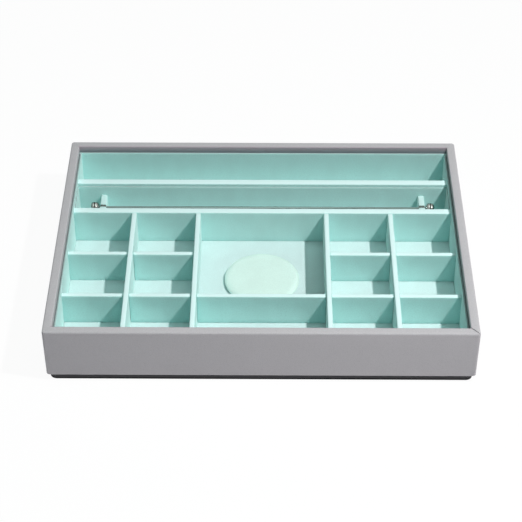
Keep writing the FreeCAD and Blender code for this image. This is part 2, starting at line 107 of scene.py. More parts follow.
def pick(piece, kind, chosen):
    """Select just the vertices, edges or faces that the test chooses."""
    bpy.ops.mesh.select_mode(type=kind)
    bpy.ops.mesh.select_all(action="DESELECT")
    shape = bmesh.from_edit_mesh(piece.data)
    items = {"VERT": shape.verts, "EDGE": shape.edges, "FACE": shape.faces}[kind]
    for item in items:
        if chosen(item):
            item.select_set(True)
    bmesh.update_edit_mesh(piece.data)


def all_at(edge, test):
    """Whether both ends of an edge pass a test on their place."""
    return all(test(corner.co) for corner in edge.verts)


def runs_along(edge, axis):
    """Whether an edge lies along an axis."""
    start, end = (corner.co for corner in edge.verts)
    step = end - start
    return abs(step[axis]) > NEARLY_ALONG * step.length


def pick_edges_at(piece, axis, level):
    """Select the edges along an axis that lie at that height."""

    def at_level(point):
        return abs(point.z - level) < TINY

    pick(piece, "EDGE", lambda edge: runs_along(edge, axis) and all_at(edge, at_level))


def step_along(axis, length):
    """A move of that length along one axis."""
    step = Vector((0, 0, 0))
    step[axis] = length
    return step


def round_off(radius, steps):
    """Round the selected edges."""
    bpy.ops.mesh.bevel(offset=radius, segments=steps, profile=0.5, affect="EDGES")


def extrude(x=0, z=0):
    """Extrude the selected faces along X or Z."""
    bpy.ops.mesh.extrude_region_move(TRANSFORM_OT_translate={"value": (x, 0, z)})


def apply_modifier(piece, kind, **settings):
    """Add a modifier to the piece, set it and apply it."""
    bpy.ops.object.mode_set(mode="OBJECT")
    modifier = piece.modifiers.new(kind.lower(), kind)
    for name, value in settings.items():
        setattr(modifier, name, value)
    bpy.ops.object.modifier_apply(modifier=modifier.name)


def finish_piece(piece, material, body, slot, *nodes):
    """Shade the piece, give it its material and let it stand for its CAD nodes."""
    bpy.ops.object.mode_set(mode="OBJECT")
    bpy.ops.object.shade_smooth_by_angle(angle=SMOOTH_ANGLE)
    if not piece.data.materials:
        piece.data.materials.append(material)
    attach(piece, body)
    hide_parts(*nodes)


# Shader arithmetic and nodes


class Value:
    """A shader socket that Python arithmetic can use: each operator adds a Math node."""

    def __init__(self, finish, socket):
        self.finish = finish
        self.socket = socket

    def calculated(self, operation, left, right):
        return self.finish.node("ShaderNodeMath", {"operation": operation}, {0: left, 1: right})

    def __add__(self, other):
        return self.calculated("ADD", self, other)

    def __radd__(self, other):
        return self.calculated("ADD", other, self)

    def __sub__(self, other):
        return self.calculated("SUBTRACT", self, other)

    def __rsub__(self, other):
        return self.calculated("SUBTRACT", other, self)

    def __mul__(self, other):
        return self.calculated("MULTIPLY", self, other)

    def __rmul__(self, other):
        return self.calculated("MULTIPLY", other, self)

    def __abs__(self):
        return self.finish.node("ShaderNodeMath", {"operation": "ABSOLUTE"}, {0: self})


class Finish:
    """The nodes of a material or of the world, added one after another."""

    def __init__(self, tree):
        self.tree = tree
        tree.nodes.clear()

    def node(self, kind, settings=None, inputs=None, output=0):
        """Add a node, set it, fill or link its sockets, and give back one of its outputs."""
        node = self.tree.nodes.new(kind)
        for name, value in (settings or {}).items():
            setattr(node, name, value)
        for name, value in (inputs or {}).items():
            if isinstance(value, Value):
                self.tree.links.new(value.socket, node.inputs[name])
            else:
                node.inputs[name].default_value = value
        return Value(self, node.outputs[output]) if node.outputs else None

    def place(self, stretch=(1, 1, 1)):
        """The point on the piece, stretched along each axis."""
        point = self.node("ShaderNodeTexCoord", output="Object")
        return self.node("ShaderNodeMapping", {}, {"Vector": point, "Scale": stretch})

    def part(self, vector, axis):
        """One of a vector's three numbers: X, Y or Z."""
        return self.node("ShaderNodeSeparateXYZ", {}, {"Vector": vector}, output=axis)

    def noise(self, size, detail=2.0, stretch=(1, 1, 1)):
        """Soft noise from 0 to 1 with features of about that size."""
        return self.node(
            "ShaderNodeTexNoise",
            {"noise_dimensions": "3D"},
            {"Vector": self.place(stretch), "Scale": 1 / size, "Detail": detail},
        )

    def pebbles(self, size, feature):
        """Distance to a cell's middle (F1) or to its border (DISTANCE_TO_EDGE)."""
        return self.node(
            "ShaderNodeTexVoronoi",
            {"feature": feature},
            {"Vector": self.place(), "Scale": 1 / size},
        )

    def ramp(self, factor, low, high):
        """0 below low and 1 above high, with a smooth step between."""
        return self.node(
            "ShaderNodeMapRange",
            {"interpolation_type": "SMOOTHSTEP"},
            {"Value": factor, "From Min": low, "From Max": high},
        )

    def blend(self, factor, first, second):
        """A colour between two colours."""
        return self.node(
            "ShaderNodeMix",
            {"data_type": "RGBA"},
            {0: factor, 6: as_colour(first), 7: as_colour(second)},
            output=2,
        )

    def bump(self, height, depth, strength):
        """A normal roughened by a height from 0 to 1 that stands for that depth."""
        return self.node(
            "ShaderNodeBump",
            {},
            {"Height": height, "Distance": depth, "Strength": strength},
        )

    def surface(self, inputs):
        """Close the material with one shader."""
        shader = self.node("ShaderNodeBsdfPrincipled", {}, inputs)
        self.node("ShaderNodeOutputMaterial", {}, {"Surface": shader})


def as_colour(colour):
    """A colour as a socket takes it."""
    return colour if isinstance(colour, Value) else (*colour, 1)


def scaled(colour, share):
    """A lighter or darker tone of a colour."""
    return tuple(share * part for part in colour)


def new_finish(name):
    """A new material and its empty node tree."""
    material = bpy.data.materials.new(name)
    material.use_nodes = True
    return material, Finish(material.node_tree)


# Materials

# Painted shade on the fold inside the long walls: it ends between these distances past the opening, and
# fades from deep to lighter over this height above the linings' tops
FOLD_EASE = 0.3 * MM
FOLD_END = 1.0 * MM
FOLD_FADE = 3 * MM
# Where boards' tops take the painted top tone: faces turned this far up, this high
PAINTED_TOP_FACING = (0.55, 0.95)
PAINTED_TOP_HEIGHT = (14 * MM, 18 * MM)


def make_leatherette(name, colour, fold_painted_shade, fold_painted_deep_shade, opening):
    """Coated cloth with a fine pebble grain, darker in its creases, with painted shade down inside the
    long walls.
    """
    material, finish = new_finish(name)
    past_short_wall = abs(finish.part(finish.place(), "X")) - opening.x
    past_long_wall = abs(finish.part(finish.place(), "Y")) - opening.y
    past_wall = finish.node(
        "ShaderNodeMath",
        {"operation": "MAXIMUM"},
        {0: past_short_wall, 1: past_long_wall},
    )
    outer = finish.ramp(past_wall, FOLD_EASE, FOLD_END)
    in_long_wall = finish.ramp(past_long_wall, -FOLD_END, -FOLD_EASE)
    height = finish.part(finish.place(), "Z")
    # Painted shade on the fold: deep at the linings' tops, lighter towards the rim
    fold = finish.blend(finish.ramp(height, opening.z, opening.z + FOLD_FADE), fold_painted_deep_shade, fold_painted_shade)
    crease = finish.pebbles(0.55 * MM, "DISTANCE_TO_EDGE")
    pebble = finish.ramp(crease, 0.0, 0.22)
    pores = finish.noise(0.16 * MM, 3.0)
    mottle = finish.noise(14 * MM, 3.0)
    tone = finish.blend(mottle, scaled(colour, 0.965), scaled(colour, 1.035))
    grained = finish.blend(pebble, scaled(colour, 0.86), tone)
    # The painted shade lies only on the fold inside the front and back walls
    inner = finish.blend(in_long_wall, grained, fold)
    shaded = finish.blend(outer, inner, grained)
    relief = pebble + 0.35 * pores
    finish.surface(
        {
            "Base Color": shaded,
            "Roughness": 0.62 - 0.12 * pebble + 0.06 * pores,
            "Specular IOR Level": 0.35,
            "Normal": finish.bump(relief, 0.05 * MM, 0.35),
        }
    )
    return material


def make_velvet(name, colour, painted_top_colour, sheen_tint):
    """Short pile: fine fibres and softly brushed patches, with a painted highlight or painted shade, as
    the top colour sets it, along the tops of boards.
    """
    material, finish = new_finish(name)
    upward = finish.part(finish.node("ShaderNodeNewGeometry", output="Normal"), "Z")
    height = finish.part(finish.place(), "Z")
    # Painted highlight or painted shade on the tops, as the top colour sets it
    painted_top = finish.ramp(upward, *PAINTED_TOP_FACING) * finish.ramp(height, *PAINTED_TOP_HEIGHT)
    fibres = finish.noise(0.12 * MM, 2.0)
    tufts = finish.noise(0.6 * MM, 2.0)
    brushed = finish.noise(9 * MM, 2.0, (1, 1, 0.45))
    patches = finish.ramp(brushed, 0.3, 0.7)
    tone = finish.blend(patches, scaled(colour, 0.975), scaled(colour, 1.02))
    brushed_pile = finish.blend(finish.ramp(tufts, 0.25, 0.6), scaled(colour, 0.93), tone)
    pile = finish.blend(painted_top, brushed_pile, painted_top_colour)
    finish.surface(
        {
            "Base Color": pile,
            "Roughness": 0.92 - 0.08 * patches,
            "Specular IOR Level": 0.12,
            "Sheen Weight": 0.7,
            "Sheen Roughness": 0.45,
            "Sheen Tint": as_colour(sheen_tint),
            "Normal": finish.bump(fibres + 0.8 * tufts, 0.06 * MM, 0.3),
        }
    )
    return material


def make_felt(name, colour):
    """Pressed fibres lying every way."""
    material, finish = new_finish(name)
    long_fibres = finish.noise(0.25 * MM, 3.0, (1, 0.15, 1))
    cross_fibres = finish.noise(0.25 * MM, 3.0, (0.15, 1, 1))
    clumps = finish.noise(3 * MM, 3.0)
    fibres = 0.5 * long_fibres + 0.5 * cross_fibres
    tone = finish.blend(fibres, scaled(colour, 0.55), scaled(colour, 1.5))
    finish.surface(
        {
            "Base Color": tone,
            "Roughness": 0.97 - 0.06 * clumps,
            "Specular IOR Level": 0.15,
            "Sheen Weight": 0.08,
            "Normal": finish.bump(fibres + 0.4 * clumps, 0.2 * MM, 0.5),
        }
    )
    return material


def make_paper(name, colour, roughness):
    """Paper-faced board: faint fibres and specks."""
    material, finish = new_finish(name)
    fibres = finish.noise(0.5 * MM, 4.0, (1, 0.3, 1))
    specks = finish.ramp(finish.noise(0.35 * MM, 2.0), 0.62, 0.7)
    tone = finish.blend(fibres, scaled(colour, 0.8), scaled(colour, 1.2))
    speckled = finish.blend(specks, tone, scaled(colour, 1.6))
    finish.surface(
        {
            "Base Color": speckled,
            "Roughness": roughness + 0.1 * fibres,
            "Normal": finish.bump(fibres, 0.04 * MM, 0.3),
        }
    )
    return material


def make_fibre_board(name, colour):
    """Bare board: pressed chips of light and dark fibre."""
    material, finish = new_finish(name)
    chips = finish.pebbles(1.1 * MM, "F1")
    fibres = finish.noise(0.4 * MM, 4.0, (0.3, 1, 1))
    tone = finish.blend(fibres, scaled(colour, 0.7), scaled(colour, 1.25))
    pressed = finish.blend(finish.ramp(chips, 0.2, 0.8), tone, scaled(colour, 0.75))
    finish.surface(
        {
            "Base Color": pressed,
            "Roughness": 0.8 + 0.15 * fibres,
            "Normal": finish.bump(fibres + 0.5 * chips, 0.08 * MM, 0.4),
        }
    )
    return material


def make_polished_metal(name, colour, roughness):
    """Plating over fine turning marks, with faint smears."""
    material, finish = new_finish(name)
    turning = finish.noise(0.08 * MM, 2.0, (1, 0.02, 0.02))
    smears = finish.noise(1.5 * MM, 2.0)
    tone = finish.blend(smears, scaled(colour, 0.94), scaled(colour, 1.03))
    finish.surface(
        {
            "Base Color": tone,
            "Metallic": 1.0,
            "Roughness": roughness + 0.06 * turning + 0.05 * smears,
            "Normal": finish.bump(turning, 0.004 * MM, 0.15),
        }
    )
    return material


def make_groove_shaded_metal(name, colour, groove, groove_half_width):
    """Silver plating with painted shade and a painted dark reflection in the groove that lies at that
    distance along the bar.
    """
    material, finish = new_finish(name)
    from_groove = abs(abs(finish.part(finish.place(), "X")) - groove)
    outside_groove = finish.ramp(from_groove, 0.5 * groove_half_width, 1.7 * groove_half_width)
    smears = finish.noise(1.2 * MM, 3.0)
    tone = finish.blend(smears, scaled(colour, 0.8), scaled(colour, 1.1))
    finish.surface(
        {
            # Painted shade and dark reflection in the groove
            "Base Color": finish.blend(outside_groove, scaled(colour, 0.12), tone),
            "Metallic": 1.0,
            "Roughness": 0.3 - 0.16 * outside_groove + 0.06 * smears,
            "Normal": finish.bump(smears, 0.01 * MM, 0.1),
        }
    )
    return material


LEATHERETTE_GREY = (0.52, 0.502, 0.518)
# Painted shade on the fold inside the long walls, lighter near the rim and deep at the linings' tops
FOLD_PAINTED_SHADE = (0.43, 0.37, 0.41)
FOLD_PAINTED_DEEP_SHADE = (0.24, 0.275, 0.30)
MINT = (0.58, 0.88, 0.85)
# Painted highlight on the tops of the dividers
PAINTED_HIGHLIGHT_MINT = (0.735, 0.945, 0.935)
# The floor lining's copy of the mint velvet, painted darker and greyer as shade
PAINTED_SHADE_FLOOR_MINT = (0.61, 0.75, 0.742)
# Painted shade on the top edges of the linings and cards
PAINTED_SHADE_LINER_TOP = (0.32, 0.42, 0.41)
# Painted shade on the tops of the bar supports
PAINTED_SHADE_SUPPORT_TOP = (0.58, 0.77, 0.75)
PALE_MINT = (0.70, 0.88, 0.81)
MINT_SHEEN = (0.88, 1.0, 0.97)
PALE_SHEEN = (0.95, 1.0, 0.97)
CHARCOAL = (0.03, 0.03, 0.033)
CHARCOAL_PAPER = (0.027, 0.027, 0.030)
BOARD_BROWN = (0.35, 0.24, 0.15)
NOTCH_GREY = (0.24, 0.29, 0.26)
CARD_GREY = (0.45, 0.42, 0.36)
ROD_GREY = (0.17, 0.22, 0.21)
KNOB_SILVER = (0.32, 0.33, 0.31)
GROOVE_HALF_WIDTH = 0.3 * MM

knob_low, knob_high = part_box("screw_end_knob")
knob_middle = (knob_low + knob_high) / 2

wall_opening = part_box("back_wall_liner")[1]
leatherette = make_leatherette("grey_leatherette", LEATHERETTE_GREY, FOLD_PAINTED_SHADE, FOLD_PAINTED_DEEP_SHADE, wall_opening)
mint_velvet = make_velvet("mint_velvet", MINT, PAINTED_HIGHLIGHT_MINT, MINT_SHEEN)
lining_velvet = make_velvet("mint_lining_velvet", MINT, PAINTED_SHADE_LINER_TOP, MINT_SHEEN)
painted_shade_floor_velvet = make_velvet("mint_floor_velvet", PAINTED_SHADE_FLOOR_MINT, PAINTED_HIGHLIGHT_MINT, MINT_SHEEN)
support_velvet = make_velvet("mint_support_velvet", MINT, PAINTED_SHADE_SUPPORT_TOP, MINT_SHEEN)
pad_velvet = make_velvet("pale_mint_velvet", PALE_MINT, PALE_MINT, PALE_SHEEN)
dark_felt = make_felt("charcoal_felt", CHARCOAL)
dark_paper = make_paper("charcoal_paper", CHARCOAL_PAPER, 0.7)
card_paper = make_paper("grey_card", CARD_GREY, 0.8)
notch_paper = make_paper("dark_notch_board", NOTCH_GREY, 0.85)
fibre_board = make_fibre_board("fibre_board", BOARD_BROWN)
rod_metal = make_polished_metal("grey_polished_rod", ROD_GREY, 0.03)
knob_metal = make_groove_shaded_metal("groove_shaded_silver", KNOB_SILVER, knob_middle.x, GROOVE_HALF_WIDTH)

KEPT_NODES = {
    "foot_felt": dark_felt,
    "foot_board": dark_paper,
    "floor_board": fibre_board,
    "front_wall_board": fibre_board,
    "back_wall_board": fibre_board,
    "left_wall_board": fibre_board,
    "right_wall_board": fibre_board,
    "floor_lining": painted_shade_floor_velvet,
    "pad_card": card_paper,
}
for kept, material in KEPT_NODES.items():
    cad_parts[kept].material_slots[0].material = material


# The wrapped walls

WRAP_THICKNESS = 0.65 * MM
CORNER_RADIUS = 1.5 * MM
INNER_CORNER = 0.3 * MM
RIM_ROUND = 1.2 * MM
INNER_RIM_ROUND = 0.8 * MM
HEM_ROUND = 1.4 * MM
INNER_FOLD = 14 * MM
UNDER_FOLD = 3.4 * MM
OPEN_SEAM = {"half_width": 0.25 * MM, "depth": 0.55 * MM}
CLOSED_SEAM = {"half_width": 0.15 * MM, "depth": 0.12 * MM}
SEAM_SLOPE = 0.1


def make_wrap():
    """One sheet: in under the wall, up the outside, over the rim and down inside as a fold."""
    low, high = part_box("leatherette_wrap")
    under = high - Vector((UNDER_FOLD, UNDER_FOLD, 0))
    wrap = begin_block("leatherette_wrap_sheet", low, high)
    pick(wrap, "EDGE", lambda edge: runs_along(edge, Z))
    round_off(CORNER_RADIUS, ROUND_STEPS)

    def open_face(side, reach):
        """Inset the top or bottom face as far as the reach, with nearly sharp corners."""
        pick(wrap, "FACE", lambda face: face.normal.z * side > NEARLY_FACING)
        step = CORNER_RADIUS - INNER_CORNER
        bpy.ops.mesh.inset(thickness=step)
        stretch = (reach.x / (high.x - step), reach.y / (high.y - step), 1)
        bpy.ops.transform.resize(value=stretch, center_override=(0, 0, 0))

    open_face(1, wall_opening)
    extrude(z=-INNER_FOLD)
    bpy.ops.mesh.delete(type="FACE")
    open_face(-1, under)
    bpy.ops.mesh.delete(type="FACE")

    def outside(point, edge_of):
        return abs(point.x) > edge_of.x + TINY or abs(point.y) > edge_of.y + TINY

    def at_rim(point):
        return abs(point.z - high.z) < TINY

    def at_hem(point):
        return abs(point.z - low.z) < TINY

    pick(wrap, "EDGE", lambda edge: all_at(edge, lambda p: at_rim(p) and outside(p, wall_opening)))
    round_off(RIM_ROUND, ROUND_STEPS)
    pick(wrap, "EDGE", lambda edge: all_at(edge, lambda p: at_rim(p) and not outside(p, wall_opening)))
    round_off(INNER_RIM_ROUND, ROUND_STEPS)
    pick(wrap, "EDGE", lambda edge: all_at(edge, lambda p: at_hem(p) and outside(p, under)))
    round_off(HEM_ROUND, ROUND_STEPS)

    apply_modifier(wrap, "SOLIDIFY", thickness=WRAP_THICKNESS, offset=-1)
    bpy.ops.object.mode_set(mode="EDIT")

    def on_mitre(corner):
        off_diagonal = (abs(corner.co.x) - abs(corner.co.y)) - (high.x - high.y)
        on_rim = corner.co.z > high.z - RIM_ROUND + TINY
        return abs(off_diagonal) < 2 * TINY and on_rim and corner.normal.z > SEAM_SLOPE

    def at_front_right(corner):
        return corner.co.x > 0 and corner.co.y < 0

    def press_seam(seam, here):
        """Sink the middle of the mitre line at the corners chosen by here."""
        pick(wrap, "EDGE", lambda edge: all(on_mitre(corner) and here(corner) for corner in edge.verts))
        bpy.ops.mesh.bevel(offset=seam["half_width"], segments=EASED_STEPS, affect="EDGES")
        pick(wrap, "VERT", lambda corner: on_mitre(corner) and here(corner))
        bpy.ops.transform.translate(value=(0, 0, -seam["depth"]))

    press_seam(OPEN_SEAM, at_front_right)
    press_seam(CLOSED_SEAM, lambda corner: not at_front_right(corner))
    finish_piece(wrap, leatherette, "tray", "leatherette", "leatherette_wrap")


make_wrap()


# Velvet-covered boards

SOFT_EDGE = 0.7 * MM
SOFT_SHARE = 0.42
END_EDGE = 0.5 * MM
END_STEPS = 3
FOOT_EDGE = 0.3 * MM
LINER_LEAN = 0.45 * MM
LET_IN = 0.9 * MM
WAVE_DEPTH = 0.1 * MM
WAVE_SIZE = 9 * MM
WAVE_SPACING = 4 * MM

COLUMNS = ("outer_left", "inner_left", "inner_right", "outer_right")
DIVIDERS = [
    "rear_long_divider",
    "front_long_divider",
    *[f"{column}_column_divider" for column in COLUMNS],
    *[f"{column}_{row}_cross_divider" for column in COLUMNS for row in ("rear", "front")],
    "middle_front_cross_divider",
]
CARDS = [
    *[f"{side}_wall_liner" for side in ("front", "back", "left", "right")],
    *[f"bar_bay_{side}_card" for side in ("back", "left", "right")],
]

unevenness = bpy.data.textures.new("velvet_unevenness", "CLOUDS")
unevenness.noise_scale = WAVE_SIZE


def ease_ends(board, along, reach):
    """Raise the two end faces in shrinking steps, so that the ends are rounded all round."""
    pick(board, "FACE", lambda face: abs(face.normal[along]) > NEARLY_FACING)
    angles = [math.pi / 2 * step / END_STEPS for step in range(END_STEPS + 1)]
    for start, end in zip(angles, angles[1:]):
        bpy.ops.mesh.inset(
            thickness=reach * (math.cos(start) - math.cos(end)),
            depth=reach * (math.sin(end) - math.sin(start)),
        )


def visible_box(node):
    """A board's box without the ends that are let into other dividers."""
    low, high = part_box(node)
    walls_low, walls_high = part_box("front_long_divider")
    if node.endswith("cross_divider"):
        low.x += LET_IN if low.x > walls_low.x + TINY else 0
        high.x -= LET_IN if high.x < walls_high.x - TINY else 0
    if node.endswith("column_divider"):
        high.y -= LET_IN
    return low, high


def make_covered_board(node, covering):
    """Velvet folded over a board: soft top edges, eased ends and feet, and slightly uneven faces."""
    solid_low, solid_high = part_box(node)
    extent = solid_high - solid_low
    along, across = (X, Y) if extent.x > extent.y else (Y, X)
    widest_edge = SOFT_SHARE * extent[across]
    low, high = visible_box(node)
    end_reach = min(END_EDGE, widest_edge)
    end_step = step_along(along, end_reach)
    board = begin_block(f"{node}_velvet", low + end_step, high - end_step)
    pick_edges_at(board, along, high.z)
    round_off(min(SOFT_EDGE, widest_edge), SOFT_STEPS)
    ease_ends(board, along, end_reach)
    pick_edges_at(board, along, low.z)
    round_off(min(FOOT_EDGE, widest_edge), EASED_STEPS)
    if node.endswith("wall_liner"):
        pick(board, "VERT", lambda corner: corner.co.z > (low.z + high.z) / 2)
        bpy.ops.transform.translate(value=step_along(across, -math.copysign(LINER_LEAN, low[across])))
    pick(board, "EDGE", lambda edge: runs_along(edge, along))
    bpy.ops.mesh.subdivide(number_cuts=math.ceil(extent[along] / WAVE_SPACING))
    pick(board, "EDGE", lambda edge: runs_along(edge, Z))
    bpy.ops.mesh.subdivide(number_cuts=math.ceil(extent.z / WAVE_SPACING))
    apply_modifier(board, "DISPLACE", texture=unevenness, strength=WAVE_DEPTH, mid_level=0.5)
    finish_piece(board, covering, "tray", "mint_velvet", node)


for divider in DIVIDERS:
    make_covered_board(divider, mint_velvet)
for card in CARDS:
    make_covered_board(card, lining_velvet)


# The bar and its supports

NOTCH_PLAY = 0.05 * MM
NOTCH_LIP = 0.4 * MM
LIP_STEPS = 3
LIP_ANGLE = math.radians(50)
SUPPORT_CROWN = 0.9 * MM
COLLAR_EASE = 0.2 * MM
KNOB_ROUND = 1.7 * MM
GROOVE_DEPTH = 0.3 * MM
STUD_RADIUS = 0.7 * MM
BORE_RADIUS = 0.75 * MM
STUD_GRIP = 2.6 * MM
THREAD_PITCH = 0.3 * MM
THREAD_DEPTH = 0.12 * MM
THREAD_STEPS = 6
TURNED_EASE = 0.12 * MM
SHADE_HOLD = 0.5 * MM

rod_low, rod_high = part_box("bar_rod")
bar_middle = (rod_low + rod_high) / 2
bar_radius = (rod_high.z - rod_low.z) / 2
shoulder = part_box("screw_end_collar")[0].x


def make_support(node):
    """A low covered board, crowned on top, with an open notch for the bar whose faces are dark
    grey-green.
    """
    low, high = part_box(node)
    notch = begin_turned("notch", bar_radius + NOTCH_PLAY, low.x - MM, high.x + MM, bar_middle)
    pick(notch, "FACE", lambda face: face.normal.z > TINY)
    bpy.ops.transform.translate(value=(0, 0, high.z - low.z))
    bpy.ops.object.mode_set(mode="OBJECT")
    notch.data.materials.append(notch_paper)
    support = begin_block(f"{node}_velvet", low, high)
    pick_edges_at(support, Y, high.z)
    round_off(SUPPORT_CROWN, FULL_STEPS)
    bpy.ops.object.mode_set(mode="OBJECT")
    support.data.materials.append(support_velvet)
    apply_modifier(
        support,
        "BOOLEAN",
        object=notch,
        operation="DIFFERENCE",
        solver="EXACT",
        material_mode="TRANSFER",
    )
    bpy.data.objects.remove(notch)
    apply_modifier(
        support,
        "BEVEL",
        width=NOTCH_LIP,
        segments=LIP_STEPS,
        limit_method="ANGLE",
        angle_limit=LIP_ANGLE,
    )
    finish_piece(support, support_velvet, "tray", "mint_velvet", node)


def facing(side):
    """A test for the faces that look along the bar to that side."""
    return lambda face: face.normal.x * side > NEARLY_FACING


def cut_ring(place):
    """Cut a ring of points round a turned piece at that place along the bar."""
    bpy.ops.mesh.select_all(action="SELECT")
    bpy.ops.mesh.bisect(plane_co=(place, 0, 0), plane_no=(1, 0, 0))


def off_axis(point):
    """How far a point lies from the bar's axis."""
    return math.hypot(point.y - bar_middle.y, point.z - bar_middle.z)


def cut_thread(rod):
    """Sink the stud's surface along a helix, from its crest to its root and back in each turn."""
    shape = bmesh.from_edit_mesh(rod.data)
    for corner in shape.verts:
        if corner.co.x < shoulder + TINY or off_axis(corner.co) < STUD_RADIUS - TINY:
            continue
        arm = Vector((0, corner.co.y - bar_middle.y, corner.co.z - bar_middle.z))
        turned = math.atan2(arm.z, arm.y) / (2 * math.pi)
        phase = (corner.co.x / THREAD_PITCH - turned) % 1
        corner.co -= arm.normalized() * THREAD_DEPTH * abs(2 * phase - 1)
    bmesh.update_edit_mesh(rod.data)


def make_rod():
    """A turned rod with a stud at each end; the right-hand stud is threaded.

    A ring of points near each shoulder keeps the eased edge out of the long faces' shading.
    """
    rod = begin_turned("bar_rod_polished", bar_radius, -shoulder, shoulder, bar_middle)
    for side in (-1, 1):
        pick(rod, "FACE", facing(side))
        bpy.ops.mesh.inset(thickness=bar_radius - STUD_RADIUS)
        extrude(x=side * (rod_high.x - shoulder))

    def outside_studs(point):
        return off_axis(point) > STUD_RADIUS + TINY

    pick(rod, "EDGE", lambda edge: not runs_along(edge, X) and all_at(edge, outside_studs))
    round_off(TURNED_EASE, EASED_STEPS)
    for place in (SHADE_HOLD - shoulder, shoulder - SHADE_HOLD):
        cut_ring(place)
    pick(rod, "EDGE", lambda edge: runs_along(edge, X) and all_at(edge, lambda p: p.x > shoulder - TINY))
    turns = (rod_high.x - shoulder) / THREAD_PITCH
    bpy.ops.mesh.subdivide(number_cuts=round(THREAD_STEPS * turns))
    cut_thread(rod)
    finish_piece(rod, rod_metal, "bar", "polished_metal", "bar_rod")


def make_collar(node, body):
    """A ring with rounded edges and a bore."""
    low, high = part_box(node)
    radius = (high.z - low.z) / 2
    collar = begin_turned(f"{node}_polished", radius, low.x, high.x, bar_middle)
    pick(collar, "EDGE", lambda edge: not runs_along(edge, X))
    round_off(COLLAR_EASE, SOFT_STEPS)
    pick(collar, "FACE", lambda face: abs(face.normal.x) > SQUARELY_FACING)
    bpy.ops.mesh.inset(thickness=radius - COLLAR_EASE - BORE_RADIUS)
    bpy.ops.mesh.bridge_edge_loops()
    finish_piece(collar, rod_metal, body, "polished_metal", node)


def make_knob(node, body, side):
    """A round knob with full edges, a groove round its middle and a blind bore for the stud."""
    low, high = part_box(node)
    radius = (high.z - low.z) / 2
    middle = (low.x + high.x) / 2
    knob = begin_turned(f"{node}_polished", radius, low.x, high.x, bar_middle)
    pick(knob, "EDGE", lambda edge: not runs_along(edge, X))
    round_off(KNOB_ROUND, FULL_STEPS)
    for place in (-1, 0, 1):
        cut_ring(middle + place * GROOVE_HALF_WIDTH)
    pick(knob, "VERT", lambda corner: abs(corner.co.x - middle) < TINY)
    sink = (radius - GROOVE_DEPTH) / radius
    bpy.ops.transform.resize(value=(1, sink, sink), center_override=(middle, bar_middle.y, bar_middle.z))
    pick(knob, "FACE", facing(-side))
    bpy.ops.mesh.inset(thickness=radius - KNOB_ROUND - BORE_RADIUS)
    extrude(x=side * (STUD_GRIP + NOTCH_PLAY))
    finish_piece(knob, knob_metal, body, "polished_metal", node)


make_support("left_bar_support")
make_support("right_bar_support")
make_rod()
make_collar("fixed_end_collar", "bar")
make_collar("screw_end_collar", "screw_collar")
make_knob("fixed_end_knob", "bar", -1)
make_knob("screw_end_knob", "screw_knob", 1)


# The round pad

PAD_SCALE = 10
PAD_SIDES = 96
PAD_CORE_SHARE = 0.6
PAD_EDGE_SHARE = 0.2
PAD_EDGE_STEPS = 4
PAD_GLUED_SHARE = 0.25
PAD_VOXEL = 6.5 * MM
PAD_PRESSURE = 2
PAD_FRAMES = 20
PAD_CAP = 6 * MM
PAD_SMOOTHING = 16
PAD_SMOOTH_SHARE = 0.5
PAD_TUCK = 0.65 * MM


def swell(pad, glued):
    """Blow the pad up as cloth with its underside held, and limit how far each point goes."""
    before = [corner.co.copy() for corner in pad.data.vertices]
    held = pad.vertex_groups.new(name="glued")
    held.add([corner.index for corner in pad.data.vertices if corner.co.z < glued], 1.0, "REPLACE")
    cloth = pad.modifiers.new("cloth", "CLOTH")
    cloth.settings.use_pressure = True
    cloth.settings.uniform_pressure_force = PAD_PRESSURE
    cloth.settings.vertex_group_mass = held.name
    cloth.settings.effector_weights.gravity = 0
    cloth.point_cache.frame_end = PAD_FRAMES
    for number in range(1, PAD_FRAMES + 1):
        bpy.context.scene.frame_set(number)
    bpy.ops.object.modifier_apply(modifier=cloth.name)
    for corner, start in zip(pad.data.vertices, before):
        moved = corner.co - start
        if moved.length > PAD_CAP:
            corner.co = start + moved.normalized() * PAD_CAP
    bpy.context.scene.frame_set(1)


def make_pad():
    """Velvet over wadding on a card disc: modelled large, swollen as cloth, then brought to size."""
    low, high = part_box("pad_cushion")
    middle = (low + high) / 2
    radius = (high.x - low.x) / 2
    height = high.z - low.z
    pad = begin(
        "pad_cushion_velvet",
        bpy.ops.mesh.primitive_cylinder_add,
        vertices=PAD_SIDES,
        radius=PAD_SCALE * (radius - 0.5 * PAD_TUCK),
        depth=PAD_SCALE * PAD_CORE_SHARE * height,
    )
    pick(pad, "EDGE", lambda edge: not runs_along(edge, Z))
    round_off(PAD_SCALE * PAD_EDGE_SHARE * height, PAD_EDGE_STEPS)
    apply_modifier(pad, "REMESH", mode="VOXEL", voxel_size=PAD_VOXEL)
    swell(pad, -PAD_SCALE * PAD_GLUED_SHARE * height)
    apply_modifier(pad, "SMOOTH", factor=PAD_SMOOTH_SHARE, iterations=PAD_SMOOTHING)
    apply_modifier(pad, "SUBSURF", levels=1, render_levels=1)
    corners = [corner.co for corner in pad.data.vertices]
    reached_low = Vector([min(corner[axis] for corner in corners) for axis in (X, Y, Z)])
    reached_high = Vector([max(corner[axis] for corner in corners) for axis in (X, Y, Z)])
    reached = reached_high - reached_low
    bpy.ops.object.select_all(action="DESELECT")
    pad.select_set(True)
    pad.scale = ((high.x - low.x) / reached.x, (high.y - low.y) / reached.y, height / reached.z)
    bpy.ops.object.transform_apply(location=True, rotation=True, scale=True)
    pad.location = (middle.x, middle.y, low.z - reached_low.z * height / reached.z)
    bpy.ops.object.transform_apply(location=True, rotation=True, scale=True)
    finish_piece(pad, pad_velvet, "tray", "pad_velvet", "pad_cushion")


make_pad()


# Floor, light and camera

